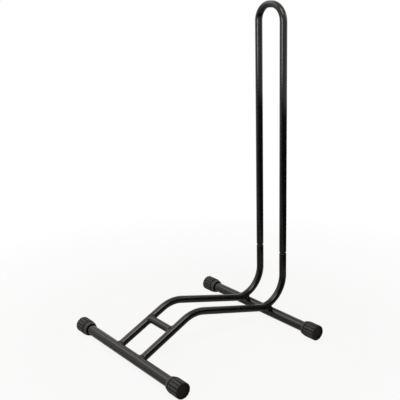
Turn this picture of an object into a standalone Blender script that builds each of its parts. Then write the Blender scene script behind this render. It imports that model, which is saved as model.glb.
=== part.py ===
"""Floor display stand that holds a bicycle by one wheel.

Two round cross tubes on ribbed push-on feet carry two bent rails. The rails run up and over a hump,
down onto the rear cross tube and then straight up, and a lift-off hoop plugs over their reduced ends.
X runs along the rails towards the hoop, Y to the left, Z up. The origin is on the floor, under the
middle of the stand's box. All sizes are in metres.
"""

from math import asin, atan2, cos, hypot, pi, sin, sqrt

import bmesh
import bpy
from mathutils import Matrix, Vector

MM = 0.001

# Tubes of the frame and the hoop
RAIL_DIAMETER = 16.0 * MM
RAIL_WALL = 1.5 * MM
CROSS_DIAMETER = 22.0 * MM
CROSS_WALL = 1.5 * MM

# Plan of the stand, measured between tube centres
STAND_WIDTH = 375.0 * MM
TUBE_SPACING = 357.0 * MM
UPRIGHT_BEHIND_REAR_TUBE = 41.5 * MM
RAIL_SPREAD_FRONT = 81.0 * MM
RAIL_SPREAD_REAR = 76.0 * MM
SPREADER_FROM_FRONT_TUBE = 83.5 * MM

# Side view of a rail: where its two straight runs would meet over the hump, and its bends
HUMP_FROM_FRONT_TUBE = 140.0 * MM
HUMP_HEIGHT = 83.0 * MM
HUMP_BEND_RADIUS = 75.0 * MM
HEEL_BEND_RADIUS = 62.5 * MM

# Hoop, and the plug joint under it
STAND_HEIGHT = 700.0 * MM
HOOP_TOP_STRAIGHT = 6.0 * MM
JOINT_HEIGHT = 149.5 * MM
NECK_HEIGHT = 2.8 * MM
NECK_SEAT = 0.3 * MM  # how far the neck stands out past the hoop's bore, to carry its rim
SPIGOT_LENGTH = 45.0 * MM
SPIGOT_TIP_CHAMFER = 1.5 * MM
HOOP_EDGE_ROUND = 1.3 * MM

# Push-on foot, from its closed outer end to its mouth
FOOT_WALL = 5.45 * MM
FOOT_END_WALL = 4.0 * MM
FOOT_END_ROUND = 1.8 * MM
FOOT_RIM_WIDTH = 1.5 * MM
FOOT_RECESS_DEPTH = 2.5 * MM
RIB_COUNT = 14
RIB_LENGTH = 27.5 * MM
RIB_GROOVE_WIDTH = 2.3 * MM
RIB_GROOVE_DEPTH = 1.8 * MM
RING_GROOVE_WIDTH = 3.0 * MM
RING_GROOVE_DEPTH = 2.55 * MM
COLLAR_LENGTH = 8.0 * MM
COLLAR_SET_IN = 0.55 * MM
COLLAR_MOUTH_WALL = 2.6 * MM
COLLAR_EDGE_ROUND = 0.5 * MM
MOUTH_LIP_WIDTH = 0.4 * MM
MOUTH_CHAMFER_LENGTH = 3.0 * MM

# Weld beads
BEAD_DIAMETER = 2.6 * MM
SPREADER_BEAD_STEP_OUT = 0.5 * MM

# Fits
GAP = 0.3 * MM  # between touching pieces
SPIGOT_CLEARANCE = 0.3 * MM  # on the radius, inside the hoop's legs

# Fineness of the round pieces
RAIL_SIDES = 20
CROSS_SIDES = 24
HUMP_STEPS = 6
HEEL_STEPS = 11
HOOP_STEPS = 9
SHOULDER_STEPS = 4
COPE_SIDES = 36
BEAD_POINTS = 24
BEAD_RESOLUTION = 2

# Sizes that follow from those above
rail_radius = RAIL_DIAMETER / 2
rail_bore = rail_radius - RAIL_WALL
cross_radius = CROSS_DIAMETER / 2
spigot_radius = rail_bore - SPIGOT_CLEARANCE
neck_radius = rail_bore + NECK_SEAT
shoulder_round = rail_radius - neck_radius
foot_bore = cross_radius + GAP
land_radius = foot_bore + FOOT_WALL
axle_height = land_radius
bead_radius = BEAD_DIAMETER / 2
bead_offset = bead_radius + GAP

UP = Vector((0, 0, 1))
LEFT = Vector((0, 1, 0))
FORWARD = Vector((1, 0, 0))


def foot_ring(distance, land, groove_floor):
    """One section of a foot at a distance from its outer end, with a rib's flat land facing down.

    The lands are flats at the radius land, and the grooves between them go down to groove_floor.
    """
    pitch = 2 * pi / RIB_COUNT
    half_groove = RIB_GROOVE_WIDTH / land_radius / 2
    half_land = pitch / 2 - half_groove
    corner = land / cos(half_land)
    floor = min(groove_floor, land)
    ring = []
    for rib in range(RIB_COUNT):
        middle = rib * pitch - pi / 2
        for turn, radius in (
            (-half_land, corner),
            (half_land, corner),
            (half_land + half_groove / 2, floor),
            (half_land + half_groove * 3 / 2, floor),
        ):
            angle = middle + turn
            ring.append(Vector((radius * cos(angle), distance, radius * sin(angle))))
    return ring


def round_foot_ring(distance, radius):
    """A plain round section of a foot, with a corner for each corner of the ribbed ones."""
    ribbed = foot_ring(distance, land_radius, land_radius)
    axis_point = Vector((0, distance, 0))
    return [axis_point + (corner - axis_point).normalized() * radius for corner in ribbed]


# Places along X. The stand's box runs from the front feet to the back of the uprights.
foot_reach = max(corner.x for corner in foot_ring(0, land_radius, land_radius))
upright_from_front_tube = TUBE_SPACING + UPRIGHT_BEHIND_REAR_TUBE
box_length = foot_reach + upright_from_front_tube + rail_radius
front_x = foot_reach - box_length / 2
rear_x = front_x + TUBE_SPACING
upright_x = front_x + upright_from_front_tube

# Each rail is bent in one upright plane, and the two planes close in a little towards the hoop.
toe_angle = atan2((RAIL_SPREAD_FRONT - RAIL_SPREAD_REAR) / 2, upright_from_front_tube)


def make_material(name, color, roughness, metallic):
    """A plain surface of one colour."""
    material = bpy.data.materials.new(name)
    material.use_nodes = True
    shader = material.node_tree.nodes["Principled BSDF"]
    shader.inputs["Base Color"].default_value = (*color, 1)
    shader.inputs["Roughness"].default_value = roughness
    shader.inputs["Metallic"].default_value = metallic
    return material


def add_object(name, data, material, parent=None, location=(0, 0, 0), turn=0.0):
    """Puts a mesh or curve in the scene, turned about Z, with its own copy of the material."""
    piece = bpy.data.objects.new(name, data)
    bpy.context.scene.collection.objects.link(piece)
    piece.parent = parent
    piece.location = location
    piece.rotation_euler.z = turn
    if len(data.materials) == 0:
        data.materials.append(None)
    piece.material_slots[0].link = "OBJECT"
    piece.material_slots[0].material = material
    return piece


def finish_mesh(bm, name):
    """Turns a bmesh into a mesh whose faces point out, with its round sides shaded smooth."""
    bmesh.ops.recalc_face_normals(bm, faces=bm.faces)
    mesh = bpy.data.meshes.new(name)
    bm.to_mesh(mesh)
    bm.free()
    mesh.shade_smooth()
    mesh.set_sharp_from_angle(angle=0.6)
    return mesh


def join_rings(bm, rings):
    """Makes a strip of faces from each ring of vertices to the next."""
    for ring, following in zip(rings, rings[1:]):
        for k in range(len(ring)):
            bm.faces.new((ring[k - 1], ring[k], following[k], following[k - 1]))


def tube_mesh(name, outside, inside, side, sides):
    """A tube with an open bore.

    outside and inside list (centre, direction, radius) from one end of the tube to the other, all in
    the plane that side stands square to.
    """
    bm = bmesh.new()
    rings = []
    for centre, direction, radius in outside + inside[::-1]:
        frame = Matrix((side, direction.cross(side), direction)).transposed().to_4x4()
        frame.translation = centre
        circle = bmesh.ops.create_circle(bm, segments=sides, radius=radius, matrix=frame)
        rings.append(circle["verts"])
    join_rings(bm, rings + rings[:1])
    return finish_mesh(bm, name)


def bend(corner, arriving, leaving, radius, steps):
    """(centre, direction) pairs round a bend of a tube whose straight runs would meet at corner."""
    angle = arriving.angle(leaving)
    start = corner - arriving * radius * sin(angle / 2) / cos(angle / 2)
    inward = (leaving - arriving * arriving.dot(leaving)).normalized()
    middle = start + inward * radius
    pairs = []
    for k in range(steps + 1):
        turned = angle * k / steps
        centre = middle + radius * (arriving * sin(turned) - inward * cos(turned))
        pairs.append((centre, arriving * cos(turned) + inward * sin(turned)))
    return pairs


# A rail's side view, in its own plane: X runs from the upright to the front, and Z up.
front_reach = upright_from_front_tube / cos(toe_angle)
front_end = Vector((front_reach, 0, axle_height))
hump = Vector(((upright_from_front_tube - HUMP_FROM_FRONT_TUBE) / cos(toe_angle), 0, HUMP_HEIGHT))

# The heel bend rests on the rear cross tube, which sets the height of the bend's middle.
heel_touch = HEEL_BEND_RADIUS + rail_radius + cross_radius + GAP
heel_forward = HEEL_BEND_RADIUS - UPRIGHT_BEHIND_REAR_TUBE / cos(toe_angle)
heel_middle = Vector((HEEL_BEND_RADIUS, 0, axle_height + sqrt(heel_touch**2 - heel_forward**2)))

# The run behind the hump touches the heel bend from below, and would meet the upright at heel.
hump_to_middle = heel_middle - hump
run_reach = hypot(hump_to_middle.x, hump_to_middle.z)
run_tilt = atan2(hump_to_middle.z, -hump_to_middle.x) - asin(HEEL_BEND_RADIUS / run_reach)
heel = hump + Vector((-cos(run_tilt), 0, sin(run_tilt))) * hump.x / cos(run_tilt)

slope = (hump - front_end).normalized()
run = (heel - hump).normalized()


def rail_mesh():
    """A bent rail with a bore, its front end long enough to be coped, its top squeezed to a plug.

    The plug is a short neck, which carries the hoop's rim, and above it a spigot inside the hoop's leg.
    """
    neck_start = JOINT_HEIGHT - NECK_HEIGHT
    shoulder_start = neck_start - shoulder_round
    bends = bend(hump, slope, run, HUMP_BEND_RADIUS, HUMP_STEPS)
    bends += bend(heel, run, UP, HEEL_BEND_RADIUS, HEEL_STEPS)
    centres = [(front_end, slope)] + bends

    outside = [(centre, direction, rail_radius) for centre, direction in centres]
    for k in range(SHOULDER_STEPS + 1):
        angle = pi / 2 * k / SHOULDER_STEPS
        height = shoulder_start + shoulder_round * sin(angle)
        outside.append((UP * height, UP, neck_radius + shoulder_round * cos(angle)))
    outside.append((UP * JOINT_HEIGHT, UP, neck_radius))
    outside.append((UP * JOINT_HEIGHT, UP, spigot_radius))
    spigot_top = JOINT_HEIGHT + SPIGOT_LENGTH
    outside.append((UP * (spigot_top - SPIGOT_TIP_CHAMFER), UP, spigot_radius))
    outside.append((UP * spigot_top, UP, spigot_radius - SPIGOT_TIP_CHAMFER / 2))

    inside = [(centre, direction, rail_bore) for centre, direction in centres]
    inside.append((UP * (shoulder_start - RAIL_WALL), UP, rail_bore))
    inside.append((UP * neck_start, UP, spigot_radius - RAIL_WALL))
    inside.append((UP * spigot_top, UP, spigot_radius - RAIL_WALL))
    return tube_mesh("rail", outside, inside, LEFT, RAIL_SIDES)


def hoop_mesh():
    """The inverted U, about its own origin: midway between its legs, at the height of the joint."""
    half_spread = RAIL_SPREAD_REAR / 2
    top = STAND_HEIGHT - rail_radius - JOINT_HEIGHT
    bend_radius = half_spread - HOOP_TOP_STRAIGHT / 2
    left_corner = Vector((0, half_spread, top))
    right_corner = Vector((0, -half_spread, top))
    centres = bend(left_corner, UP, -LEFT, bend_radius, HOOP_STEPS)
    centres += bend(right_corner, -LEFT, -UP, bend_radius, HOOP_STEPS)
    left_foot = LEFT * half_spread + UP * GAP
    right_foot = -LEFT * half_spread + UP * GAP

    rounding = []
    for k in range(SHOULDER_STEPS + 1):
        angle = pi / 2 * k / SHOULDER_STEPS
        rise = HOOP_EDGE_ROUND * (1 - cos(angle))
        rounding.append((UP * rise, rail_radius - HOOP_EDGE_ROUND * (1 - sin(angle))))

    outside = [(left_foot + rise, UP, radius) for rise, radius in rounding]
    outside += [(centre, direction, rail_radius) for centre, direction in centres]
    outside += [(right_foot + rise, -UP, radius) for rise, radius in rounding[::-1]]
    inside = [(left_foot, UP, rail_bore)]
    inside += [(centre, direction, rail_bore) for centre, direction in centres]
    inside += [(right_foot, -UP, rail_bore)]
    return tube_mesh("hoop", outside, inside, FORWARD, RAIL_SIDES)


def straight_tube_mesh(name, length, radius, bore, sides):
    """A straight tube along Y, open at both ends, with its middle at its origin."""
    ends = [LEFT * length / 2, -LEFT * length / 2]
    outside = [(end, LEFT, radius) for end in ends]
    inside = [(end, LEFT, bore) for end in ends]
    return tube_mesh(name, outside, inside, FORWARD, sides)


def foot_mesh():
    """A push-on foot along +Y from its outer end: recessed end, ribs, ring groove, collar and bore."""
    rib_floor = land_radius - RIB_GROOVE_DEPTH
    ring_floor = land_radius - RING_GROOVE_DEPTH
    rim_radius = land_radius - FOOT_END_ROUND
    collar_start = RIB_LENGTH + RING_GROOVE_WIDTH
    collar_radius = land_radius - COLLAR_SET_IN
    mouth = collar_start + COLLAR_LENGTH
    mouth_radius = foot_bore + COLLAR_MOUTH_WALL
    edge = COLLAR_EDGE_ROUND
    end_bevel = FOOT_END_ROUND * (1 - sqrt(1 / 2))
    bm = bmesh.new()
    sections = [
        round_foot_ring(FOOT_RECESS_DEPTH, rim_radius - FOOT_RIM_WIDTH),
        round_foot_ring(0, rim_radius - FOOT_RIM_WIDTH),
        round_foot_ring(0, rim_radius),
        foot_ring(end_bevel, land_radius - end_bevel, rib_floor),
        foot_ring(FOOT_END_ROUND, land_radius, rib_floor),
        foot_ring(RIB_LENGTH - edge, land_radius, rib_floor),
        foot_ring(RIB_LENGTH, land_radius - edge, rib_floor),
        round_foot_ring(RIB_LENGTH, ring_floor),
        round_foot_ring(collar_start, ring_floor),
        round_foot_ring(collar_start, collar_radius - edge),
        round_foot_ring(collar_start + edge, collar_radius),
        round_foot_ring(mouth - edge, mouth_radius),
        round_foot_ring(mouth, mouth_radius - edge),
        round_foot_ring(mouth, mouth_radius - edge - MOUTH_LIP_WIDTH),
        round_foot_ring(mouth - MOUTH_CHAMFER_LENGTH, foot_bore),
        round_foot_ring(FOOT_END_WALL, foot_bore),
    ]
    rings = [[bm.verts.new(corner) for corner in section] for section in sections]
    join_rings(bm, rings)
    bm.faces.new(rings[0])
    bm.faces.new(rings[-1])
    return finish_mesh(bm, "foot")


def add_cope(piece, name, centre, direction, radius, length):
    """Cuts the end of a tube to the round of the tube it is welded to."""
    bm = bmesh.new()
    turn = direction.to_track_quat("Z", "Y").to_matrix().to_4x4()
    bmesh.ops.create_cone(bm, cap_ends=True, segments=COPE_SIDES, radius1=radius, radius2=radius,
                          depth=length, matrix=Matrix.Translation(centre) @ turn)
    cutter = bpy.data.objects.new(name, finish_mesh(bm, name))
    bpy.context.scene.collection.objects.link(cutter)
    cutter.hide_render = True
    cutter.display_type = "WIRE"
    cut = piece.modifiers.new("cope", "BOOLEAN")
    cut.operation = "DIFFERENCE"
    cut.solver = "EXACT"
    cut.object = cutter


def add_bead(name, points, material):
    """A weld bead: a round wire along a closed loop of points."""
    curve = bpy.data.curves.new(name, "CURVE")
    curve.dimensions = "3D"
    curve.bevel_depth = bead_radius
    curve.bevel_resolution = BEAD_RESOLUTION
    spline = curve.splines.new("POLY")
    spline.points.add(len(points) - 1)
    for point, place in zip(spline.points, points):
        point.co = (*place, 1)
    spline.use_cyclic_u = True
    spline.use_smooth = True
    return add_object(name, curve, material)


def bead_round_branch(end, branch, branch_radius, trunk, trunk_radius):
    """Centre line of the bead where a branch tube ends on a trunk tube.

    end is where the two tubes' axes meet. Every point is branch_radius from the branch's axis and
    trunk_radius from the trunk's.
    """
    across = branch.cross(trunk).normalized()
    along = across.cross(branch)
    branch_square = branch - trunk * branch.dot(trunk)
    points = []
    for k in range(BEAD_POINTS):
        angle = 2 * pi * k / BEAD_POINTS
        out = branch_radius * (across * cos(angle) + along * sin(angle))
        out_square = out - trunk * out.dot(trunk)
        mixed = branch_square.dot(out_square)
        square = branch_square.length_squared
        spare = trunk_radius**2 - out_square.length_squared
        reach = (sqrt(mixed**2 + square * spare) - mixed) / square
        points.append(end + branch * reach + out)
    return points


def bead_round_crossing(touch, normal, upper, upper_radius, lower, lower_radius):
    """Centre line of the bead round the spot where one tube crosses over another.

    touch is midway between the two walls, and normal points from the lower tube's axis to the upper's.
    The loop keeps bead_offset from both walls.
    """
    upper_rise = upper_radius + GAP / 2
    lower_drop = lower_radius + GAP / 2
    upper_reach = upper_radius + bead_offset
    lower_reach = lower_radius + bead_offset
    points = []
    for k in range(BEAD_POINTS):
        angle = 2 * pi * k / BEAD_POINTS
        near = 0.0
        far = min(upper_reach, lower_reach)
        for _ in range(40):
            middle = (near + far) / 2
            from_upper = upper_reach**2 - (middle * sin(angle)) ** 2
            from_lower = lower_reach**2 - (middle * cos(angle)) ** 2
            if sqrt(from_upper) + sqrt(from_lower) > upper_rise + lower_drop:
                near = middle
            else:
                far = middle
        rise = upper_rise - sqrt(upper_reach**2 - (near * sin(angle)) ** 2)
        points.append(touch + near * (upper * cos(angle) + lower * sin(angle)) + normal * rise)
    return points


def clear_scene():
    """Removes whatever the file opened with."""
    for piece in list(bpy.data.objects):
        bpy.data.objects.remove(piece)


def build():
    """Makes every piece of the stand."""
    clear_scene()
    coat = {"color": (0.02, 0.02, 0.021), "roughness": 0.32, "metallic": 0.0}
    rubber = {"color": (0.03, 0.03, 0.031), "roughness": 0.6, "metallic": 0.0}

    # Cross tubes, which end inside the feet
    cross_length = STAND_WIDTH - 2 * (FOOT_END_WALL + GAP)
    cross_bore = cross_radius - CROSS_WALL
    cross_mesh = straight_tube_mesh("cross_tube", cross_length, cross_radius, cross_bore, CROSS_SIDES)
    for end, x in (("front", front_x), ("rear", rear_x)):
        name = f"{end}_cross_tube"
        add_object(name, cross_mesh, make_material(name, **coat), location=(x, 0, axle_height))

    # Feet on the four tube ends
    foot = foot_mesh()
    for end, x in (("front", front_x), ("rear", rear_x)):
        for hand, y, turn in (("left", STAND_WIDTH / 2, pi), ("right", -STAND_WIDTH / 2, 0.0)):
            name = f"{end}_{hand}_foot"
            add_object(name, foot, make_material(name, **rubber), None, (x, y, axle_height), turn)

    # Rails, each turned about its own upright. In the scene a rail runs from its upright to -X.
    rail = rail_mesh()
    front_axis_point = Vector((front_x, 0, axle_height))
    for hand, sign in (("left", 1), ("right", -1)):
        name = f"{hand}_rail"
        place = (upright_x, sign * RAIL_SPREAD_REAR / 2, 0)
        turn = pi - sign * toe_angle
        piece = add_object(name, rail, make_material(name, **coat), None, place, turn)
        # The cutter is longer than the rail is wide, and the gap to the tube is part of its radius.
        add_cope(piece, f"{hand}_rail_cope", front_axis_point + LEFT * sign * RAIL_SPREAD_FRONT / 2,
                 LEFT, cross_radius + GAP, 3 * RAIL_DIAMETER)
        add_rail_beads(hand, sign, piece_to_world(place, turn), coat)

    add_spreader(coat)

    # Hoop, whose origin is on the line that it lifts along
    hoop_place = (upright_x, 0, JOINT_HEIGHT)
    add_object("upper_hoop", hoop_mesh(), make_material("upper_hoop", **coat), None, hoop_place)


def piece_to_world(place, turn):
    """The matrix that takes a rail's own side view into the scene."""
    return Matrix.Translation(place) @ Matrix.Rotation(turn, 4, "Z")


def spreader_point(sign):
    """Where the spreader's axis meets the left (1) or right (-1) rail's axis."""
    climb = (HUMP_HEIGHT - axle_height) / HUMP_FROM_FRONT_TUBE
    part_way = SPREADER_FROM_FRONT_TUBE / upright_from_front_tube
    spread = RAIL_SPREAD_FRONT + (RAIL_SPREAD_REAR - RAIL_SPREAD_FRONT) * part_way
    height = axle_height + climb * SPREADER_FROM_FRONT_TUBE
    return Vector((front_x + SPREADER_FROM_FRONT_TUBE, sign * spread / 2, height))


def slope_direction(sign):
    """Which way the left (1) or right (-1) rail climbs from the front cross tube."""
    turn = Matrix.Rotation(pi - sign * toe_angle, 3, "Z")
    return turn @ slope


def add_spreader(coat):
    """The short tube between the rails, coped to both, with a bead at each end."""
    left_end = spreader_point(1)
    right_end = spreader_point(-1)
    length = (left_end - right_end).length
    mesh = straight_tube_mesh("spreader", length, rail_radius, rail_bore, RAIL_SIDES)
    middle = (left_end + right_end) / 2
    name = "rail_spreader"
    piece = add_object(name, mesh, make_material(name, **coat), location=middle)
    for hand, sign, end in (("left", 1, left_end), ("right", -1, right_end)):
        add_cope(piece, f"spreader_{hand}_cope", end, slope_direction(sign),
                 rail_radius + GAP, 3 * RAIL_DIAMETER)
        points = bead_round_branch(end, -sign * LEFT, rail_radius + bead_offset,
                                   slope_direction(sign),
                                   rail_radius + bead_offset + SPREADER_BEAD_STEP_OUT)
        name = f"spreader_{hand}_weld"
        add_bead(name, points, make_material(name, **coat))


def add_rail_beads(hand, sign, to_world, coat):
    """The beads where a rail ends on the front cross tube and where it rests on the rear one."""
    end = Vector((front_x, sign * RAIL_SPREAD_FRONT / 2, axle_height))
    points = bead_round_branch(end, slope_direction(sign), rail_radius + bead_offset,
                               LEFT, cross_radius + bead_offset)
    name = f"front_{hand}_weld"
    add_bead(name, points, make_material(name, **coat))

    # The rail touches the rear tube on the line from the heel bend's middle to the tube's axis.
    down = Vector((-heel_forward, 0, axle_height - heel_middle.z)).normalized()
    touch = heel_middle + down * (HEEL_BEND_RADIUS + rail_radius + GAP / 2)
    world_touch = to_world @ touch
    world_normal = (to_world.to_3x3() @ -down).normalized()
    points = bead_round_crossing(world_touch, world_normal, LEFT.cross(world_normal).normalized(),
                                 rail_radius, LEFT, cross_radius)
    name = f"rear_{hand}_weld"
    add_bead(name, points, make_material(name, **coat))


build()
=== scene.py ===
# %% [markdown]
# A bicycle display stand, finished for a picture.
# The engineering model of the stand gives every piece its place and size. This lesson dresses it: smooth
# bent tubes under a satin black powder coat, painted-over welds, and ribbed feet of moulded plastic.
# Load that model first, because everything else is measured from it.

# %% Load the engineering model
from math import asin, atan2, cos, hypot, pi, radians, sin, sqrt

import bmesh
import bpy
from mathutils import Matrix, Vector


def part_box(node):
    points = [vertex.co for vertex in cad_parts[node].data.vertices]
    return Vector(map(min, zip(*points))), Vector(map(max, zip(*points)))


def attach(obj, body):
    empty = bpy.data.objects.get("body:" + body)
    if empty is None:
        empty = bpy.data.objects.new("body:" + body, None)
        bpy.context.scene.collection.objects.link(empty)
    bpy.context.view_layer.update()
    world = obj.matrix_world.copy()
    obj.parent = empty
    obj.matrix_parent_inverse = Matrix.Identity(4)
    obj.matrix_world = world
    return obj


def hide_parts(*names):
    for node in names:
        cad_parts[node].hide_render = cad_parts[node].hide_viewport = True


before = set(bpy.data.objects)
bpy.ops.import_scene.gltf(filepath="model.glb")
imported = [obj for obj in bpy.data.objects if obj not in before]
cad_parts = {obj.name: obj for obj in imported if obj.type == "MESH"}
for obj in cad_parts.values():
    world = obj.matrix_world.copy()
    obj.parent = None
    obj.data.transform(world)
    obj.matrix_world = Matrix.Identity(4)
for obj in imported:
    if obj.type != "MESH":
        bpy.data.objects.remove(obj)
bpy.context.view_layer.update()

MM = 0.001
UP = Vector((0, 0, 1))
LEFT = Vector((0, 1, 0))
FORWARD = Vector((1, 0, 0))
ORIGIN = Vector((0, 0, 0))

# %% [markdown]
# The photograph was taken from in front of the stand and to its right, a little above the hoop's top.
# A camera can be placed by eye, but here its place and angles were worked out from the edges of the tubes,
# so that every tube lands where the photograph has it. A camera in Blender looks down its own -Z, so it is
# first turned up to look level, then dipped, and then turned about the vertical.

# %% Camera
CAMERA_PLACE = Vector((-892.4, -1165.7, 734.2)) * MM
CAMERA_YAW = radians(-37.472)
CAMERA_DIP = radians(16.291)
CAMERA_ROLL = radians(-1.711)
CAMERA_LENS = 66.09

camera_data = bpy.data.cameras.new("photo_camera")
camera_data.lens = CAMERA_LENS
camera = bpy.data.objects.new("photo_camera", camera_data)
camera.matrix_world = (
    Matrix.Translation(CAMERA_PLACE)
    @ Matrix.Rotation(CAMERA_YAW, 4, "Z")
    @ Matrix.Rotation(pi / 2 - CAMERA_DIP, 4, "X")
    @ Matrix.Rotation(CAMERA_ROLL, 4, "Z")
)
bpy.context.scene.collection.objects.link(camera)
bpy.context.scene.camera = camera
print("camera height:", round(camera.matrix_world.translation.z, 3), "m")

# %% [markdown]
# Sizes. What the engineering model's boxes can tell is read from them: the tubes' thicknesses, how far
# apart the tubes stand, and how high the hoop is. The bends have no box of their own, so the numbers that
# shape them are named here.

# %% Sizes of the stand
front_low, front_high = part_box("front_cross_tube")
rear_low, rear_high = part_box("rear_cross_tube")
hoop_low, hoop_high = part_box("upper_hoop")
spreader_low, spreader_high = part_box("rail_spreader")

cross_radius = (front_high.z - front_low.z) / 2
cross_half_length = front_high.y
axle_height = (front_high.z + front_low.z) / 2
front_x = (front_low.x + front_high.x) / 2
rear_x = (rear_low.x + rear_high.x) / 2
rail_radius = (hoop_high.x - hoop_low.x) / 2
upright_x = (hoop_low.x + hoop_high.x) / 2
hoop_spread = hoop_high.y - rail_radius
spigot_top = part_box("left_rail")[1].z

CROSS_WALL = 1.5 * MM
RAIL_WALL = 1.5 * MM
SPIGOT_CLEARANCE = 0.3 * MM
TOUCH_GAP = 0.3 * MM
FRONT_SPREAD = 40.5 * MM
HUMP_BEHIND_FRONT_TUBE = 140.0 * MM
HUMP_HEIGHT = 83.0 * MM
HUMP_BEND = 75.0 * MM
HEEL_BEND = 62.5 * MM
HOOP_BEND = 35.0 * MM
JOINT_HEIGHT = 149.5 * MM

rail_bore = rail_radius - RAIL_WALL
spigot_radius = rail_bore - SPIGOT_CLEARANCE
print("tubes:", round(2 * cross_radius / MM, 1), "and", round(2 * rail_radius / MM, 1), "mm across")

# %% [markdown]
# Every tube is a skin stretched over rings. A ring is a circle of points round the tube's centre line, and
# each ring is joined to the next, out along the outer wall and back along the bore. A curve with a bevel
# would be quicker, but it couldn't be coped at one end and squeezed to a plug at the other.

# %% Rings and skins
TUBE_SIDES = 72
SHARP_ANGLE = radians(32)


def ring(centre, direction, side, radius, oval=0.0):
    """A ring of points round a tube. oval narrows it square to side, and widens it along side by half."""
    over = direction.cross(side)
    points = []
    for k in range(TUBE_SIDES):
        angle = 2 * pi * k / TUBE_SIDES
        points.append(centre + side * radius * (1 + oval / 2) * cos(angle)
                      + over * radius * (1 - oval) * sin(angle))
    return points


def skin(name, rings, closed=True):
    """A mesh through rings of points, which ends where it began if it is closed."""
    count = len(rings[0])
    vertices = [point for one in rings for point in one]
    faces = []
    for i in range(len(rings) if closed else len(rings) - 1):
        here = i * count
        there = (i + 1) % len(rings) * count
        for k in range(count):
            before = (k - 1) % count
            faces.append((here + before, here + k, there + k, there + before))
    if not closed:
        faces.append(tuple(range(count)))
        faces.append(tuple(range((len(rings) - 1) * count, len(rings) * count)))
    mesh = bpy.data.meshes.new(name)
    mesh.from_pydata(vertices, [], faces)
    return face_outward(mesh)


def face_outward(mesh):
    """Turns a closed mesh's faces outward and shades it smooth, but for its sharp edges."""
    bm = bmesh.new()
    bm.from_mesh(mesh)
    bmesh.ops.recalc_face_normals(bm, faces=bm.faces)
    if bm.calc_volume(signed=True) < 0:
        bmesh.ops.reverse_faces(bm, faces=bm.faces)
    bm.to_mesh(mesh)
    bm.free()
    mesh.shade_smooth()
    mesh.set_sharp_from_angle(angle=SHARP_ANGLE)
    return mesh


print("points round a tube:", TUBE_SIDES)

# %% [markdown]
# Bends. A tube is bent round a former, so its centre line is a straight run, an arc and another straight
# run. Only the corner where the straight runs would meet has to be known, because the arc follows from
# it. A real tube goes slightly oval where it is bent: its wall is pulled in towards the bend's middle. The
# rings do the same, a little more at each step into the bend and a little less on the way out.

# %% Bends and rounded ends
STEP_ALONG_BEND = radians(2.0)
OVAL_GROWS_OVER = 0.25


def bend(corner, arriving, leaving, radius, oval, eases_in=True, eases_out=True):
    """(centre, direction, oval) along a bend whose straight runs would meet at corner."""
    angle = arriving.angle(leaving)
    start = corner - arriving * radius * sin(angle / 2) / cos(angle / 2)
    inward = (leaving - arriving * arriving.dot(leaving)).normalized()
    middle = start + inward * radius
    steps = round(angle / STEP_ALONG_BEND)
    stations = []
    for k in range(steps + 1):
        part = k / steps
        into = part / OVAL_GROWS_OVER if eases_in else 1
        out_of = (1 - part) / OVAL_GROWS_OVER if eases_out else 1
        ramp = min(1, into, out_of)
        turned = angle * part
        centre = middle + radius * (arriving * sin(turned) - inward * cos(turned))
        direction = arriving * cos(turned) + inward * sin(turned)
        stations.append((centre, direction, oval * ramp * ramp * (3 - 2 * ramp)))
    return stations


def rounded_edge(radius, corner, depth, steps=8):
    """(distance, radius) pairs over a rounded end edge, from its flat end to the tube's full radius."""
    pairs = []
    for k in range(steps + 1):
        angle = pi / 2 * k / steps
        pairs.append((depth * (1 - cos(angle)), radius - corner * (1 - sin(angle))))
    return pairs


print("rings in a quarter bend:", len(bend(ORIGIN, UP, FORWARD, HEEL_BEND, 0)))

# %% [markdown]
# Placing. Each finished mesh becomes one object, under the name of the real piece. It is told which body
# it moves with and which pieces of the engineering model it stands for.

# %% Placing a piece
def place_piece(name, mesh, body, slot, *nodes, place=(0, 0, 0), turn=0.0):
    """Puts a finished mesh in the scene, on its body, in place of the engineering model's nodes."""
    piece = bpy.data.objects.new(name, mesh)
    bpy.context.scene.collection.objects.link(piece)
    piece.location = place
    piece.rotation_euler.z = turn
    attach(piece, body)
    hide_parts(*nodes)
    print(name, len(mesh.polygons), "faces, on", body)
    return piece


coated = []
moulded = []
print("pieces so far:", len(coated) + len(moulded))

# %% [markdown]
# The two cross tubes lie on the floor, held clear of it by their feet. They are straight lengths of the
# thicker tube, cut square, and their ends are inside the feet. All that is needed is one straight skin
# each, with its bore.

# %% Cross tubes
for end, x in (("front", front_x), ("rear", rear_x)):
    rings = []
    for radius, ends in ((cross_radius, (1, -1)), (cross_radius - CROSS_WALL, (-1, 1))):
        for sign in ends:
            rings.append(ring(LEFT * sign * cross_half_length, LEFT, FORWARD, radius))
    name = f"{end}_tube"
    piece = place_piece(name, skin(name, rings), "base", "powder_coat", f"{end}_cross_tube",
                        place=(x, 0, axle_height))
    coated.append(piece)

# %% [markdown]
# A rail is one tube with two bends. It climbs from the front tube, bends over a hump, runs down to the
# rear tube, and turns up round its heel bend. Each rail lies in an upright plane of its own, and the two
# planes close in slightly towards the hoop, so a wheel that rolls in is centred. The side view is worked
# out flat, with X from the upright to the front, and the finished mesh is turned into place.
# The heel bend has to rest on the rear tube, so its height follows from the two tubes' thicknesses.

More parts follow.
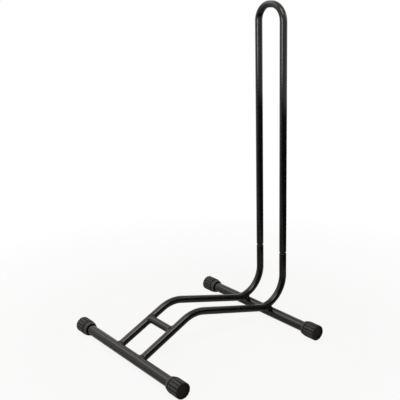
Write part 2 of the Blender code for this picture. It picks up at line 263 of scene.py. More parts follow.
# %% Side view of a rail
toe_angle = atan2(FRONT_SPREAD - hoop_spread, upright_x - front_x)
front_end = Vector(((upright_x - front_x) / cos(toe_angle), 0, axle_height))
hump = Vector(((upright_x - front_x - HUMP_BEHIND_FRONT_TUBE) / cos(toe_angle), 0, HUMP_HEIGHT))
heel_reach = HEEL_BEND + rail_radius + cross_radius + TOUCH_GAP
heel_forward = HEEL_BEND - (upright_x - rear_x) / cos(toe_angle)
heel_middle = Vector((HEEL_BEND, 0, axle_height + sqrt(heel_reach**2 - heel_forward**2)))
to_middle = heel_middle - hump
run_tilt = atan2(to_middle.z, -to_middle.x) - asin(HEEL_BEND / hypot(to_middle.x, to_middle.z))
heel = hump + Vector((-cos(run_tilt), 0, sin(run_tilt))) * hump.x / cos(run_tilt)
slope = (hump - front_end).normalized()
run = (heel - hump).normalized()
print("slope:", round(atan2(slope.z, -slope.x) * 180 / pi, 1), "degrees up, heel middle at",
      round(heel_middle.z / MM, 1), "mm")

# %% [markdown]
# The rail's front end is coped, which means cut to the round of the tube that it meets. Each line along
# the rail's wall ends where it reaches the cross tube's wall, and that distance has a formula: it is
# where a straight line meets a cylinder. The same formula copes the spreader and places the welds.

# %% Copes
def reach_to_tube(branch, out, trunk, trunk_radius):
    """How far along branch the wall line at out is before it meets a tube through the origin."""
    branch_square = branch - trunk * branch.dot(trunk)
    out_square = out - trunk * out.dot(trunk)
    mixed = branch_square.dot(out_square)
    square = branch_square.length_squared
    inside = mixed**2 + square * (trunk_radius**2 - out_square.length_squared)
    return (sqrt(max(inside, 0)) - mixed) / square


def cope(end, points, branch, trunk, trunk_radius):
    """Slides a ring's points along branch to the round of the tube that it meets."""
    return [end + point + branch * reach_to_tube(branch, point, trunk, trunk_radius) for point in points]


side_reach = reach_to_tube(FORWARD, UP * rail_radius, LEFT, cross_radius)
print("a square cope on the cross tube is", round((cross_radius - side_reach) / MM, 1), "mm deep")

# %% [markdown]
# At its top each rail was squeezed in a die: to a short neck, which stays in sight and carries the hoop's
# rim, and above it to a thinner spigot, which goes up inside the hoop. The skin below follows the whole
# tube: the coped end, both bends, the neck and the spigot, and then back down the bore.

# %% Rails
HUMP_OVAL = 0.02
HEEL_OVAL = 0.03
SPIGOT_TIP = 1.2 * MM
NECK_HEIGHT = 2.8 * MM
NECK_SEAT = 0.3 * MM
neck_radius = rail_bore + NECK_SEAT


def rail_skin(name, sign):
    """A whole rail: coped front end, two bends, neck, spigot, and its bore."""
    shoulder = rail_radius - neck_radius
    trunk = Matrix.Rotation(-(pi - sign * toe_angle), 3, "Z") @ LEFT
    neck_start = JOINT_HEIGHT - NECK_HEIGHT
    bends = bend(hump, slope, run, HUMP_BEND, HUMP_OVAL) + bend(heel, run, UP, HEEL_BEND, HEEL_OVAL)
    flat = ring(ORIGIN, slope, LEFT, rail_radius)
    outside = [cope(front_end, flat, slope, trunk, cross_radius - TOUCH_GAP)]
    outside += [ring(centre, along, LEFT, rail_radius, oval) for centre, along, oval in bends]
    for down, radius in rounded_edge(rail_radius, shoulder, shoulder)[::-1]:
        outside.append(ring(UP * (neck_start - down), UP, LEFT, radius))
    outside.append(ring(UP * JOINT_HEIGHT, UP, LEFT, neck_radius))
    outside.append(ring(UP * JOINT_HEIGHT, UP, LEFT, spigot_radius))
    for down, radius in rounded_edge(spigot_radius, SPIGOT_TIP / 2, SPIGOT_TIP)[::-1]:
        outside.append(ring(UP * (spigot_top - down), UP, LEFT, radius))

    flat = ring(ORIGIN, slope, LEFT, rail_bore)
    inside = [cope(front_end, flat, slope, trunk, cross_radius - TOUCH_GAP)]
    inside += [ring(centre, along, LEFT, rail_bore, oval) for centre, along, oval in bends]
    inside.append(ring(UP * (neck_start - shoulder - RAIL_WALL), UP, LEFT, rail_bore))
    inside.append(ring(UP * neck_start, UP, LEFT, spigot_radius - RAIL_WALL))
    inside.append(ring(UP * spigot_top, UP, LEFT, spigot_radius - RAIL_WALL))
    return skin(name, outside + inside[::-1])


for hand, sign in (("left", 1), ("right", -1)):
    name = f"{hand}_bent_rail"
    piece = place_piece(name, rail_skin(name, sign), "base", "powder_coat", f"{hand}_rail",
                        place=(upright_x, sign * hoop_spread, 0), turn=pi - sign * toe_angle)
    coated.append(piece)

# %% [markdown]
# The hoop is the tall part that keeps the wheel from leaning. It is one tube with two quarter bends at the
# top, open at both lower ends, and it lifts off the spigots. The photograph shows its tube a little
# thinner round the top than down the legs: a tight bend flattens a tube more than a gentle one, and the
# two bends are so close that the tube stays flat between them. Its lower edges are rounded over, which is
# what makes a neat groove at each joint.

# %% Hoop
HOOP_OVAL = 0.07
HOOP_EDGE = 1.3 * MM


def hoop_skin(name):
    """The upturned U, from its left foot over the top to its right one, and back along the bore."""
    top = hoop_high.z - rail_radius * (1 - HOOP_OVAL)
    left_corner = Vector((0, hoop_spread, top))
    right_corner = Vector((0, -hoop_spread, top))
    stations = bend(left_corner, UP, -LEFT, HOOP_BEND, HOOP_OVAL, eases_out=False)
    stations += bend(right_corner, -LEFT, -UP, HOOP_BEND, HOOP_OVAL, eases_in=False)
    left_foot = Vector((0, hoop_spread, hoop_low.z))
    right_foot = Vector((0, -hoop_spread, hoop_low.z))
    outside = [ring(left_foot + UP * rise, UP, FORWARD, radius)
               for rise, radius in rounded_edge(rail_radius, HOOP_EDGE, HOOP_EDGE)]
    outside += [ring(centre, along, FORWARD, rail_radius, oval) for centre, along, oval in stations]
    outside += [ring(right_foot + UP * rise, -UP, FORWARD, radius)
                for rise, radius in rounded_edge(rail_radius, HOOP_EDGE, HOOP_EDGE)[::-1]]
    inside = [ring(left_foot, UP, FORWARD, rail_bore)]
    inside += [ring(centre, along, FORWARD, rail_bore, oval) for centre, along, oval in stations]
    inside.append(ring(right_foot, -UP, FORWARD, rail_bore))
    return skin(name, outside + inside[::-1])


coated.append(place_piece("hoop_tube", hoop_skin("hoop_tube"), "hoop", "powder_coat", "upper_hoop",
                          place=(upright_x, 0, 0)))

# %% [markdown]
# A short length of the thinner tube holds the rails apart. Both of its ends are coped to the rails.

# %% Spreader
spreader_x = (spreader_low.x + spreader_high.x) / 2
spreader_height = (spreader_low.z + spreader_high.z) / 2
spreader_part = (spreader_x - front_x) / (upright_x - front_x)
spreader_half = FRONT_SPREAD + (hoop_spread - FRONT_SPREAD) * spreader_part


def slope_in_scene(sign):
    """The way that the left (1) or right (-1) rail climbs, in the scene."""
    return Matrix.Rotation(pi - sign * toe_angle, 3, "Z") @ slope


spreader_rings = []
for radius, order in ((rail_radius, (1, -1)), (rail_bore, (-1, 1))):
    for sign in order:
        flat = ring(ORIGIN, LEFT, FORWARD, radius)
        spreader_rings.append(cope(LEFT * sign * spreader_half, flat, -LEFT * sign,
                                   slope_in_scene(sign), rail_radius - TOUCH_GAP))
mesh = skin("spreader_tube", spreader_rings)
coated.append(place_piece("spreader_tube", mesh, "base", "powder_coat", "rail_spreader",
                          place=(spreader_x, 0, spreader_height)))

# %% [markdown]
# The welds. A fillet weld fills the corner between two tubes, and the powder coat over it makes one
# smooth hollow curve from wall to wall. There are two ways to get that curve: draw it, or find it. It is
# found here. Each tube has a distance formula, and a blend of two such distances is zero on a surface
# that follows both tubes and rounds the corner between them.

# %% Distances to the tubes
def straight_tube(origin, axis, radius, ended=False):
    """Distance to a straight tube's wall, and the nearest point on it. An ended tube starts at origin."""
    def distance(point):
        offset = point - origin
        along = offset.dot(axis)
        out = (offset - axis * along).length - radius
        if ended and along < 0:
            return hypot(max(out, 0), along)
        return out

    def onto_wall(point):
        offset = point - origin
        square = offset - axis * offset.dot(axis)
        return point + square.normalized() * (radius - square.length)

    return distance, onto_wall


def bent_tube(middle, side, bend_radius, radius):
    """The same for a tube bent round middle, in the plane square to side."""
    def centre_for(point):
        offset = point - middle
        flat = offset - side * offset.dot(side)
        return middle + flat.normalized() * bend_radius

    def distance(point):
        return (point - centre_for(point)).length - radius

    def onto_wall(point):
        centre = centre_for(point)
        return centre + (point - centre).normalized() * radius

    return distance, onto_wall


def blend(first, second, reach):
    """A smooth union of two distances."""
    overlap = max(reach - abs(first - second), 0) / reach
    return min(first, second) - overlap * overlap * reach / 4


WELD_REACH = 5.0 * MM
print("1 mm off both tubes, the blend is", round(blend(MM, MM, WELD_REACH) / MM, 2), "mm, so in the weld")

# %% [markdown]
# A weld's outline at one place round the joint starts from its two toes, which are the lines where it
# runs out on each tube. They are found by walking along each wall, away from the corner, until the other
# tube is too far off to matter. Rays are then fanned out from a root inside the joint, from toe to toe,
# and each stops where the blend is zero. Fine ripples are laid over that, because a weld is made drop by
# drop.

# %% Outline of a weld
RIPPLE_HEIGHT = 0.09 * MM
RIPPLE_LEAN = 2.0
FAN_STEPS = 14
HALVINGS = 26
WALL_STEP = 0.3 * MM
LONGEST_LEG = 11.0 * MM
TOE_SHARE = 0.9


def toe(start, heading, onto_wall, other_distance, reach):
    """Walks along a wall from the corner until the other tube is out of the blend's reach."""
    point = onto_wall(start)
    walked = 0.0
    while other_distance(point) < TOE_SHARE * reach and walked < LONGEST_LEG:
        step = onto_wall(point + heading * WALL_STEP)
        heading = (step - point).normalized()
        point = step
        walked += WALL_STEP
    return point


def weld_section(root, first_toe, second_toe, first, second, reach, turned, ripples):
    """The outline of a weld at one place round the joint: its surface, fanned out from root."""
    points = []
    for k in range(FAN_STEPS + 1):
        part = k / FAN_STEPS
        target = first_toe.lerp(second_toe, part)
        ray = (target - root).normalized()
        near = 0.0
        far = 2 * (target - root).length + reach
        for _ in range(HALVINGS):
            middle = (near + far) / 2
            point = root + ray * middle
            if blend(first(point), second(point), reach) < 0:
                near = middle
            else:
                far = middle
        lean = (2 * part - 1) ** 2
        wave = sin(ripples * turned + RIPPLE_LEAN * lean)
        lift = RIPPLE_HEIGHT * (1 - lean) * (1 - abs(wave)) if 0 < k < FAN_STEPS else 0
        points.append(root + ray * (near + lift))
    return points + [root]


print("points across a weld:", FAN_STEPS + 2)

# %% [markdown]
# A corner weld runs all round the end of one tube, the branch, where it meets the side of another, the
# trunk. The corner line between them comes from the same formula as the cope. The outlines are set square
# to it, one after another, and a skin over them is the weld.

# %% Weld round a tube's end
SECTIONS = 96
ROOT_DEPTH = 1.6 * MM
RIPPLE_LENGTH = 2.4 * MM
JUST_THICKER = 1.0001


def corner_weld(name, end, branch, branch_radius, trunk, trunk_radius, reach, *nodes):
    """The weld all round the end of a branch tube on a trunk tube."""
    first, onto_branch = straight_tube(end, branch, branch_radius, ended=True)
    second, onto_trunk = straight_tube(end, trunk, trunk_radius)
    across = branch.cross(trunk).normalized()
    along = across.cross(branch)
    corners = []
    for k in range(SECTIONS):
        angle = 2 * pi * k / SECTIONS
        out = branch_radius * (across * cos(angle) + along * sin(angle))
        limit = max(trunk_radius, branch_radius * JUST_THICKER)
        corners.append(end + out + branch * reach_to_tube(branch, out, trunk, limit))
    length = sum((corners[k] - corners[k - 1]).length for k in range(SECTIONS))
    ripples = round(length / RIPPLE_LENGTH / 2)
    sections = []
    for k, corner in enumerate(corners):
        tangent = (corners[(k + 1) % SECTIONS] - corners[k - 1]).normalized()
        branch_normal = corner - end - branch * (corner - end).dot(branch)
        branch_normal.normalize()
        trunk_normal = corner - end - trunk * (corner - end).dot(trunk)
        trunk_normal.normalize()
        up_branch = tangent.cross(branch_normal)
        facing = 1 if up_branch.dot(branch) > 0 else -1
        away = -facing * tangent.cross(trunk_normal)
        root = corner - (branch_normal + trunk_normal).normalized() * ROOT_DEPTH
        first_toe = toe(corner, facing * up_branch, onto_branch, second, reach)
        second_toe = toe(corner, away, onto_trunk, first, reach)
        sections.append(weld_section(root, first_toe, second_toe, first, second, reach,
                                     2 * pi * k / SECTIONS, ripples))
    coated.append(place_piece(name, skin(name, sections), "base", "powder_coat", *nodes))


print("outlines round a weld:", SECTIONS)

# %% [markdown]
# Four of the six welds are corner welds: the two rails' front ends, and the spreader's two ends. The
# spreader is as thick as the rails, so over its top and bottom there is no corner, and the weld is a low
# crown there instead.

# %% Corner welds
SPREADER_WELD_REACH = 4.4 * MM

for hand, sign in (("left", 1), ("right", -1)):
    end = Vector((front_x, sign * FRONT_SPREAD, axle_height))
    corner_weld(f"front_{hand}_fillet", end, slope_in_scene(sign), rail_radius, LEFT, cross_radius,
                WELD_REACH, f"front_{hand}_weld")
    end = Vector((spreader_x, sign * spreader_half, spreader_height))
    corner_weld(f"spreader_{hand}_fillet", end, -LEFT * sign, rail_radius, slope_in_scene(sign),
                rail_radius, SPREADER_WELD_REACH, f"spreader_{hand}_weld")

# %% [markdown]
# The other two welds join each rail's heel bend to the rear tube. One tube crosses over the other there
# and they touch at a spot, so the weld is a neck all round it. The same fan works, from the spot outward.

# %% Welds on the rear tube
REAR_WELD_REACH = 6.0 * MM
REAR_RIPPLES = 10

for hand, sign in (("left", 1), ("right", -1)):
    to_scene = (Matrix.Translation((upright_x, sign * hoop_spread, 0))
                @ Matrix.Rotation(pi - sign * toe_angle, 4, "Z"))
    side = (to_scene.to_3x3() @ LEFT).normalized()
    down = (to_scene.to_3x3() @ Vector((-heel_forward, 0, axle_height - heel_middle.z))).normalized()
    middle = to_scene @ heel_middle
    spot = middle + down * (HEEL_BEND + rail_radius + TOUCH_GAP / 2)
    upper, onto_upper = bent_tube(middle, side, HEEL_BEND, rail_radius)
    lower, onto_lower = straight_tube(Vector((rear_x, 0, axle_height)), LEFT, cross_radius)
    along = LEFT.cross(down).normalized()
    sections = []
    for k in range(SECTIONS):
        angle = 2 * pi * k / SECTIONS
        heading = along * cos(angle) + LEFT * sin(angle)
        upper_toe = toe(spot, heading, onto_upper, lower, REAR_WELD_REACH)
        lower_toe = toe(spot, heading, onto_lower, upper, REAR_WELD_REACH)
        outline = weld_section(spot + heading * ROOT_DEPTH / 2, upper_toe, lower_toe, upper, lower,
                               REAR_WELD_REACH, angle, REAR_RIPPLES)
        sections.append(outline)
    name = f"rear_{hand}_fillet"
    coated.append(place_piece(name, skin(name, sections), "base", "powder_coat", f"rear_{hand}_weld"))

# %% [markdown]
# The four feet are one moulding, pushed on over each end of both cross tubes. From its outer end a foot
# has a shallow round recess, a rounded rim, a barrel of fourteen broad ribs to grip it by, a ring-shaped
# groove, and a smooth collar that tapers to the tube. It is turned from a side view, as on a lathe, which
# is a line of corners, each with its own small rounding.

# %% Side view of a foot
BARREL_RADIUS = 16.75 * MM
BARREL_LENGTH = 27.5 * MM
RIM_ROUND = 1.9 * MM
RECESS_RADIUS = 13.4 * MM
RECESS_DEPTH = 2.5 * MM
GROOVE_FLOOR = 14.2 * MM
GROOVE_END = 30.5 * MM
COLLAR_RADIUS = 16.2 * MM
COLLAR_MOUTH = 13.9 * MM
FOOT_LENGTH = 38.5 * MM
MOUTH_RIM = 1.1 * MM
MOUTH_DEPTH = 3.0 * MM
BORE_END = 4.0 * MM
HUB_RADIUS = 0.4 * MM
foot_bore = cross_radius + TOUCH_GAP


def rounded_line(corners, steps=5):
    """A line through (distance, radius, rounding) corners, with an arc at each that has a rounding."""
    points = []
    for k, (x, r, rounding) in enumerate(corners):
        here = Vector((x, r))
        if rounding == 0:
            points.append(here)
            continue
        before = Vector(corners[k - 1][:2]) - here
        after = Vector(corners[k + 1][:2]) - here
        for i in range(steps + 1):
            t = i / steps
            start = here + before.normalized() * rounding
            finish = here + after.normalized() * rounding
            points.append(start * (1 - t) ** 2 + here * 2 * t * (1 - t) + finish * t**2)
    return points


foot_line = rounded_line([
    (RECESS_DEPTH, HUB_RADIUS, 0),
    (RECESS_DEPTH, RECESS_RADIUS, 0.5 * MM),
    (0, RECESS_RADIUS, 0.35 * MM),
    (0, BARREL_RADIUS, RIM_ROUND),
    (BARREL_LENGTH, BARREL_RADIUS, 0.6 * MM),
    (BARREL_LENGTH, GROOVE_FLOOR, 0.4 * MM),
    (GROOVE_END, GROOVE_FLOOR, 0.4 * MM),
    (GROOVE_END, COLLAR_RADIUS, 0.5 * MM),
    (FOOT_LENGTH, COLLAR_MOUTH, 0.6 * MM),
    (FOOT_LENGTH, COLLAR_MOUTH - MOUTH_RIM, 0.25 * MM),
    (FOOT_LENGTH - MOUTH_DEPTH, foot_bore, 0),
    (BORE_END, foot_bore, 0),
    (BORE_END, HUB_RADIUS, 0),
])
print("foot side view:", len(foot_line), "points")

# %% [markdown]
# The grooves between the ribs are pressed into that turned shape: a point of the barrel comes in by the
# groove's depth where it is near a groove's middle. The points round the barrel are close together down
# the walls of a groove and wide apart over a rib, so a few are enough.

# %% Ribs
RIBS = 14
RIB_GROOVE = 1.8 * MM
RIB_CROWN = 0.12 * MM
GROOVE_HALF = 1.4 * MM
GROOVE_FLAT = 0.7 * MM
rib_pitch = 2 * pi / RIBS
half_pitch = BARREL_RADIUS * rib_pitch / 2
marks_mm = [0, 0.35, 0.7, 0.8, 0.9, 1.0, 1.1, 1.2, 1.3, 1.4, 1.8, 2.4, 3.0]
rib_marks = [-m * MM for m in marks_mm[:0:-1]] + [m * MM for m in marks_mm] + [half_pitch]


def rib_drop(mark):
    """How far the barrel is pressed in at a distance round it from the middle of a groove."""
    inside = min(max((GROOVE_HALF - abs(mark)) / (GROOVE_HALF - GROOVE_FLAT), 0), 1)
    crown = (1 - abs(mark) / half_pitch) ** 2
    return RIB_GROOVE * inside * inside * (3 - 2 * inside) + RIB_CROWN * crown


def foot_skin(name, first_groove):
    """A foot along +Y from its outer end, with a groove at the angle first_groove."""
    angles = []
    for rib in range(RIBS):
        for mark in rib_marks:
            angles.append((first_groove + rib * rib_pitch + mark / BARREL_RADIUS, rib_drop(mark)))
    rings = []
    for place in foot_line:
        one = []
        for angle, drop in angles:
            radius = place.y
            if place.x <= BARREL_LENGTH:
                radius = min(radius, BARREL_RADIUS - drop)
            one.append(Vector((radius * cos(angle), place.x, radius * sin(angle))))
        rings.append(one)
    return skin(name, rings, closed=False)


print("points round a foot:", RIBS * len(rib_marks))

# %% [markdown]
# The feet were pushed on by hand, so they aren't all turned alike. The photograph shows where the grooves
# ended up, and each foot here is given the angle of one of its grooves. The two front feet have the same
# angle, mirrored.

# %% Feet
FRONT_GROOVE = radians(96.0)
REAR_LEFT_GROOVE = radians(111.0)
REAR_RIGHT_GROOVE = radians(103.0)
for end, x, grooves in (("front", front_x, (FRONT_GROOVE, FRONT_GROOVE)),
                        ("rear", rear_x, (REAR_LEFT_GROOVE, REAR_RIGHT_GROOVE))):
    for hand, sign, groove in (("left", 1, pi - grooves[0]), ("right", -1, grooves[1])):
        outer_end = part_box(f"{end}_{hand}_foot")[1 if sign > 0 else 0].y
        name = f"{end}_{hand}_ribbed_foot"
        piece = place_piece(name, foot_skin(name, groove), "base", "foot_plastic",
                            f"{end}_{hand}_foot", place=(x, outer_end, axle_height),
                            turn=pi if sign > 0 else 0)
        moulded.append(piece)

# %% [markdown]
# Materials are made of nodes, small steps that each take values in and hand values on. Picture textures
# would need their own unwrapping for every piece, so patterns come from noise instead, which is worked out
# at each point from its place on the piece. First come the helpers that make nodes and noise.

# %% Nodes
def add_node(tree, kind, **values):
    """Adds a node and sets its properties, or the inputs whose names match."""
    node = tree.nodes.new(kind)
    for name, value in values.items():
        if hasattr(node, name):
            setattr(node, name, value)
        else:
            node.inputs[name.replace("_", " ")].default_value = value
    return node


def new_material(name, specular):
    """An empty material with its shader, and the piece's own coordinates."""
    material = bpy.data.materials.new(name)
    material.use_nodes = True
    tree = material.node_tree
    shader = tree.nodes["Principled BSDF"]
    shader.inputs["Specular IOR Level"].default_value = specular
    return material, tree, shader, add_node(tree, "ShaderNodeTexCoord").outputs["Object"]


def noise(tree, coordinates, waves, detail):
    """Noise with so many waves in a metre."""
    texture = add_node(tree, "ShaderNodeTexNoise", Scale=waves, Detail=detail)
    tree.links.new(coordinates, texture.inputs["Vector"])
    return texture.outputs["Fac"]


def map_range(tree, value, low, high, to_low, to_high):
    """Spreads the values from low to high over a new range."""
    node = add_node(tree, "ShaderNodeMapRange", From_Min=low, From_Max=high,
                    To_Min=to_low, To_Max=to_high)
    tree.links.new(value, node.inputs["Value"])
    return node.outputs["Result"]


MOST_NOISE = (0.3, 0.7)
print("most values of a noise lie between", *MOST_NOISE)

# %% [markdown]
# Next come the helpers that join values, mix colours and stack bumps. A bump doesn't move the surface: it
# leans the shading, as if there were a relief of the given depth. Two of them, one coarse and one fine,
# look more like a real finish than one does.

# %% Sums, mixes and bumps
def add_values(tree, first, second):
    """The sum of two values, kept between 0 and 1."""
    node = add_node(tree, "ShaderNodeMath", operation="ADD", use_clamp=True)
    tree.links.new(first, node.inputs[0])
    tree.links.new(second, node.inputs[1])
    return node.outputs["Value"]


def multiply(tree, first, second):
    """The product of two values."""
    node = add_node(tree, "ShaderNodeMath", operation="MULTIPLY")
    tree.links.new(first, node.inputs[0])
    tree.links.new(second, node.inputs[1])
    return node.outputs["Value"]


def mix_colors(tree, factor, first, second):
    """Mixes two colours, either of which may come from another node."""
    node = add_node(tree, "ShaderNodeMix", data_type="RGBA")
    tree.links.new(factor, node.inputs["Factor"])
    for socket, color in ((node.inputs[6], first), (node.inputs[7], second)):
        if isinstance(color, bpy.types.NodeSocket):
            tree.links.new(color, socket)
        else:
            socket.default_value = (*color, 1)
    return node.outputs[2]


def add_bumps(tree, shader, place, layers):
    """Stacks bumps made from noise: each layer is (waves in a metre, detail, depth, strength)."""
    normal = None
    for waves, detail, depth, strength in layers:
        bump = add_node(tree, "ShaderNodeBump", Distance=depth, Strength=strength)
        tree.links.new(noise(tree, place, waves, detail), bump.inputs["Height"])
        if normal:
            tree.links.new(normal, bump.inputs["Normal"])
        normal = bump.outputs["Normal"]
    tree.links.new(normal, shader.inputs["Normal"])
    print(len(layers), "bumps, up to", max(depth for _, _, depth, _ in layers) / MM, "mm deep")


# %% [markdown]
# Powder coat. The tubes are sprayed with dry powder, which melts in an oven into a skin of satin black.
# It isn't a plain black: it flows into a faint orange peel, its sheen is a little uneven, and specks of
# pale dust settle in it. The orange peel is a bump made from two sizes of noise, and the uneven sheen is
# a slow noise that moves the roughness. The colour is very dark, because the shine does the work.

# %% Powder coat
COAT_DARK = (0.0029, 0.0026, 0.0024)
COAT_LIGHT = (0.0057, 0.0053, 0.0050)
DUST = (0.075, 0.072, 0.066)
DUST_COVER = 0.4
COAT_SPECULAR = 0.33
COAT_ROUGHNESS = 0.179
COAT_UNEVEN = 0.013
CLOUD_WAVES = 55
DUST_WAVES = 1900
SHEEN_WAVES = 40
CLOUDS_BETWEEN = (0.35, 0.65)
DUST_BETWEEN = (0.72, 0.80)
ORANGE_PEEL = ((240, 2, 0.03 * MM, 0.15), (900, 2, 0.012 * MM, 0.2))


def powder_coat():
    """Satin black powder coat over steel."""
    material, tree, shader, place = new_material("satin_black_powder_coat", COAT_SPECULAR)
    clouds = map_range(tree, noise(tree, place, CLOUD_WAVES, detail=3), *CLOUDS_BETWEEN, 0, 1)
    color = mix_colors(tree, clouds, COAT_DARK, COAT_LIGHT)
    specks = map_range(tree, noise(tree, place, DUST_WAVES, detail=1), *DUST_BETWEEN, 0, DUST_COVER)
    tree.links.new(mix_colors(tree, specks, color, DUST), shader.inputs["Base Color"])
    sheen = map_range(tree, noise(tree, place, SHEEN_WAVES, detail=3), *MOST_NOISE,
                      COAT_ROUGHNESS - COAT_UNEVEN, COAT_ROUGHNESS + COAT_UNEVEN)
    tree.links.new(sheen, shader.inputs["Roughness"])
    add_bumps(tree, shader, place, ORANGE_PEEL)
    return material


coat = powder_coat()
for piece in coated:
    piece.data.materials.append(coat)
print("powder coat on", len(coated), "pieces")

# %% [markdown]
# The feet are a softer, greyer black than the tubes. They come out of a mould with a fine matte texture on
# the barrel, and the collar, which the mould polished, is smoother. In the photograph the parts that stand
# out are grey, while the grooves, the mouth and the sunken end are nearly black where shade falls in them,
# so that shade is painted into the plastic there as a darker colour. The distance along the foot and the
# distance from its axis tell all of these apart, so one material does the whole foot.

# %% Foot plastic
PLASTIC_DARK = (0.022, 0.022, 0.021)
PLASTIC_LIGHT = (0.036, 0.036, 0.034)
# Painted shade: the near-black colour put in the grooves, the mouth and the sunken end, where shade falls.
PAINTED_HOLLOW_SHADE = (0.005, 0.005, 0.005)
PLASTIC_SPECULAR = 0.2
BARREL_ROUGHNESS = 0.52
COLLAR_ROUGHNESS = 0.36
PLASTIC_UNEVEN = 0.05
# Where the painted shade fades out: by distance from the axis over the ribs and the mouth, and along the
# foot at the collar.
RIBS_SHADE_FADE = (15.0 * MM, 16.4 * MM)
COLLAR_SHADE_FADE = (GROOVE_END - 0.1 * MM, GROOVE_END + 0.3 * MM)
MOUTH_SHADE_FADE = (COLLAR_MOUTH - 0.7 * MM, COLLAR_MOUTH - 0.3 * MM)
COLLAR_SMOOTH = (GROOVE_END - 1.5 * MM, GROOVE_END + 0.5 * MM)
TINT_WAVES = 90
MATTE_WAVES = 400
MOULD_TEXTURE = ((2200, 2, 0.02 * MM, 0.5), (500, 1, 0.02 * MM, 0.3))


def axis_distance(tree, place):
    """How far along the foot's axis a point is, and how far from it."""
    split = add_node(tree, "ShaderNodeSeparateXYZ")
    tree.links.new(place, split.inputs["Vector"])
    across = add_node(tree, "ShaderNodeCombineXYZ")
    tree.links.new(split.outputs["X"], across.inputs["X"])
    tree.links.new(split.outputs["Z"], across.inputs["Z"])
    radius = add_node(tree, "ShaderNodeVectorMath", operation="LENGTH")
    tree.links.new(across.outputs["Vector"], radius.inputs[0])
    return split.outputs["Y"], radius.outputs["Value"]


def foot_plastic():
    """Moulded dark grey plastic, matte on the barrel and smoother on the collar, with shade painted in its
    hollows.
    """
    material, tree, shader, place = new_material("moulded_foot_plastic", PLASTIC_SPECULAR)
    along, radius = axis_distance(tree, place)
    clouds = map_range(tree, noise(tree, place, TINT_WAVES, detail=3), *MOST_NOISE, 0, 1)
    color = mix_colors(tree, clouds, PLASTIC_DARK, PLASTIC_LIGHT)
    on_ribs = map_range(tree, radius, *RIBS_SHADE_FADE, 0, 1)
    on_collar = map_range(tree, along, *COLLAR_SHADE_FADE, 0, 1)
    off_mouth = map_range(tree, radius, *MOUTH_SHADE_FADE, 0, 1)
    # Painted shade: the hollows, where none of these masks reach, get the dark shade colour instead of the
    # plastic's own.
    clear_of_painted_shade = add_values(tree, on_ribs, multiply(tree, on_collar, off_mouth))
    tree.links.new(mix_colors(tree, clear_of_painted_shade, PAINTED_HOLLOW_SHADE, color), shader.inputs["Base Color"])
    matte = map_range(tree, along, *COLLAR_SMOOTH, BARREL_ROUGHNESS, COLLAR_ROUGHNESS)
    uneven = map_range(tree, noise(tree, place, MATTE_WAVES, detail=2), *MOST_NOISE,
                       -PLASTIC_UNEVEN, PLASTIC_UNEVEN)
    tree.links.new(add_values(tree, matte, uneven), shader.inputs["Roughness"])
    add_bumps(tree, shader, place, MOULD_TEXTURE)
    return material


plastic = foot_plastic()
for piece in moulded:
    piece.data.materials.append(plastic)
print("foot plastic on", len(moulded), "pieces")

# %% [markdown]
# Rays. To draw a picture, Blender sends rays out from the camera, and where one meets something shiny it
# goes on as a glossy ray. The Light Path node tells a material which kind of ray has reached it. So paper
# can be white to one kind, grey to another, and still be lit and shaded as paper.

# %% What rays see
def mirrored(tree):
    """1 for rays that glossy and clear things send out, to show what is round them."""
    path = add_node(tree, "ShaderNodeLightPath")
    return add_values(tree, path.outputs["Is Glossy Ray"], path.outputs["Is Transmission Ray"])


def seen(tree):
    """1 for rays that come straight from the camera."""
    return add_node(tree, "ShaderNodeLightPath").outputs["Is Camera Ray"]


WHITE = (1.0, 1.0, 1.0)
print("white, at full strength:", WHITE)

# %% [markdown]
# The floor. A stand like this is photographed on white paper, and the photograph's ground is pure white.
# More light would whiten the paper but bleach the stand too. So the light stays soft, and the paper's own
# material makes it white to the camera, fully so from a little way off, and nearly so close by, where the
# feet keep their faint shadows. Reflections see white paper too, but close by they see it darker, as the
# undersides of the low tubes do in the photograph.

# %% Floor
FLOOR_HALF = 90.0
PAPER = (0.5, 0.5, 0.5)
SEEN_NEAR, SEEN_FAR = 0.35, 0.9
SEEN_WHITENESS = 0.9
MIRRORED_NEAR, MIRRORED_FAR = 0.5, 2.0
MIRRORED_WHITENESS = 0.13


def white_paper():
    """Pale paper that is white to the camera and in reflections, less so close by, and keeps shadows."""
    material = bpy.data.materials.new("white_paper")
    material.use_nodes = True
    tree = material.node_tree
    tree.nodes.remove(tree.nodes["Principled BSDF"])
    diffuse = add_node(tree, "ShaderNodeBsdfDiffuse", Color=(*PAPER, 1))
    glow = add_node(tree, "ShaderNodeEmission", Color=(*WHITE, 1), Strength=1.0)
    distance = add_node(tree, "ShaderNodeVectorMath", operation="LENGTH")
    tree.links.new(add_node(tree, "ShaderNodeTexCoord").outputs["Object"], distance.inputs[0])
    far = distance.outputs["Value"]
    to_camera = map_range(tree, far, SEEN_NEAR, SEEN_FAR, SEEN_WHITENESS, 1)
    to_mirrors = map_range(tree, far, MIRRORED_NEAR, MIRRORED_FAR, MIRRORED_WHITENESS, 1)
    share = add_values(tree, multiply(tree, seen(tree), to_camera),
                       multiply(tree, mirrored(tree), to_mirrors))
    mix = add_node(tree, "ShaderNodeMixShader")
    tree.links.new(share, mix.inputs[0])
    tree.links.new(diffuse.outputs["BSDF"], mix.inputs[1])
    tree.links.new(glow.outputs["Emission"], mix.inputs[2])
    tree.links.new(mix.outputs["Shader"], tree.nodes["Material Output"].inputs["Surface"])
    return material


floor_corners = [(x * FLOOR_HALF, y * FLOOR_HALF, 0) for x, y in ((-1, -1), (1, -1), (1, 1), (-1, 1))]
floor_mesh = bpy.data.meshes.new("paper_floor")
floor_mesh.from_pydata(floor_corners, [], [(0, 1, 2, 3)])
floor = bpy.data.objects.new("paper_floor", floor_mesh)
floor_mesh.materials.append(white_paper())
bpy.context.scene.collection.objects.link(floor)
print("floor:", 2 * FLOOR_HALF, "m across")

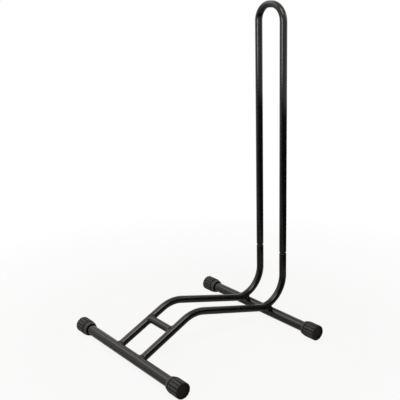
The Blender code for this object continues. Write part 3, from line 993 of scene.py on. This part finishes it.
# %% [markdown]
# The lamps. A tube this dark shows hardly any light of its own, so its shape is told by what it mirrors.
# A softbox is a lamp behind a sheet of white cloth, and on a round tube it draws one long pale streak. Two
# wide ones hang overhead, to the left and the right, for the streaks along the tops of the low tubes. One
# behind catches the far sides, and two smaller ones stand in front for the hoop's upright legs. Where each
# goes was found by trying many places and comparing the streaks with the photograph's, and then set to
# plain measures.

# %% Lamps
LAMPS_AIM = Vector((0, 0, 0.25))
WARM = (1.0, 0.91, 0.82)
COOL = (0.92, 0.95, 1.0)
SOFTBOXES = {
    "right_softbox": ((-0.35, -1.15, 2.10), (1.30, 1.20), 6.2, WARM),
    "left_softbox": ((-0.70, 1.00, 1.85), (1.90, 1.90), 1.8, WARM),
    "back_softbox": ((1.85, -1.00, 1.10), (0.70, 0.95), 3.8, WARM),
    "low_front_softbox": ((-2.25, -0.30, 0.55), (0.90, 0.70), 11.0, COOL),
    "high_front_softbox": ((-2.40, -0.30, 0.90), (0.25, 0.60), 8.6, COOL),
}


def add_softbox(name, place, size, brightness, color):
    """A rectangular lamp, turned to the stand. Its brightness is what a mirror would show."""
    lamp = bpy.data.lights.new(name, "AREA")
    lamp.shape = "RECTANGLE"
    lamp.size, lamp.size_y = size
    lamp.energy = brightness * pi * lamp.size * lamp.size_y
    lamp.color = color
    softbox = bpy.data.objects.new(name, lamp)
    softbox.location = place
    softbox.rotation_euler = (LAMPS_AIM - Vector(place)).to_track_quat("-Z", "Y").to_euler()
    softbox.visible_camera = False
    bpy.context.scene.collection.objects.link(softbox)


for name, values in SOFTBOXES.items():
    add_softbox(name, *values)
print(len(SOFTBOXES), "softboxes")

# %% [markdown]
# The world is whatever lies beyond the paper. It is white to the camera and in reflections, like the
# paper, and otherwise adds a weak light from all round, so that nothing goes fully black. The Standard
# view shows each colour as it is written, without a film's curve over it.

# %% World
AMBIENT = (0.04, 0.04, 0.04)

world = bpy.data.worlds.new("studio_surround")
bpy.context.scene.world = world
world.use_nodes = True
tree = world.node_tree
surround = mix_colors(tree, add_values(tree, seen(tree), mirrored(tree)), AMBIENT, WHITE)
tree.links.new(surround, tree.nodes["Background"].inputs["Color"])
bpy.context.scene.view_settings.view_transform = "Standard"
print("light from all round:", AMBIENT[0])

# %% [markdown]
# A dark shiny tube on white paper has white edges, because it mirrors the paper there, and they melt into
# the ground. A photographer sets black card beside the subject, just out of the picture, and the edges
# mirror that instead. A folded strip of card does so for the low tubes here. Only reflections see it: it
# has no shadow, and no camera sees it from any side.

# %% Black card
CARD_COLOR = (0.01, 0.01, 0.01, 1)
CARD_ROUGHNESS = 1.0
CARD_HEIGHT = 0.42
CARD_FOLDS = ((-0.72, 0.14), (-0.56, -0.2), (-0.34, -0.34), (0.36, -0.34), (0.62, -0.1), (0.75, 0.3))

card_points = [(x, y, z) for x, y in CARD_FOLDS for z in (0, CARD_HEIGHT)]
card_faces = [(2 * k, 2 * k + 2, 2 * k + 3, 2 * k + 1) for k in range(len(CARD_FOLDS) - 1)]
card_mesh = bpy.data.meshes.new("black_card")
card_mesh.from_pydata(card_points, [], card_faces)
card_material = bpy.data.materials.new("black_card")
card_material.use_nodes = True
card_shader = card_material.node_tree.nodes["Principled BSDF"]
card_shader.inputs["Base Color"].default_value = CARD_COLOR
card_shader.inputs["Roughness"].default_value = CARD_ROUGHNESS
card_mesh.materials.append(card_material)
card = bpy.data.objects.new("black_card", card_mesh)
card.visible_camera = False
card.visible_diffuse = False
card.visible_shadow = False
card.visible_transmission = False
bpy.context.scene.collection.objects.link(card)
print("black card:", len(card_faces), "folds,", CARD_HEIGHT, "m high")
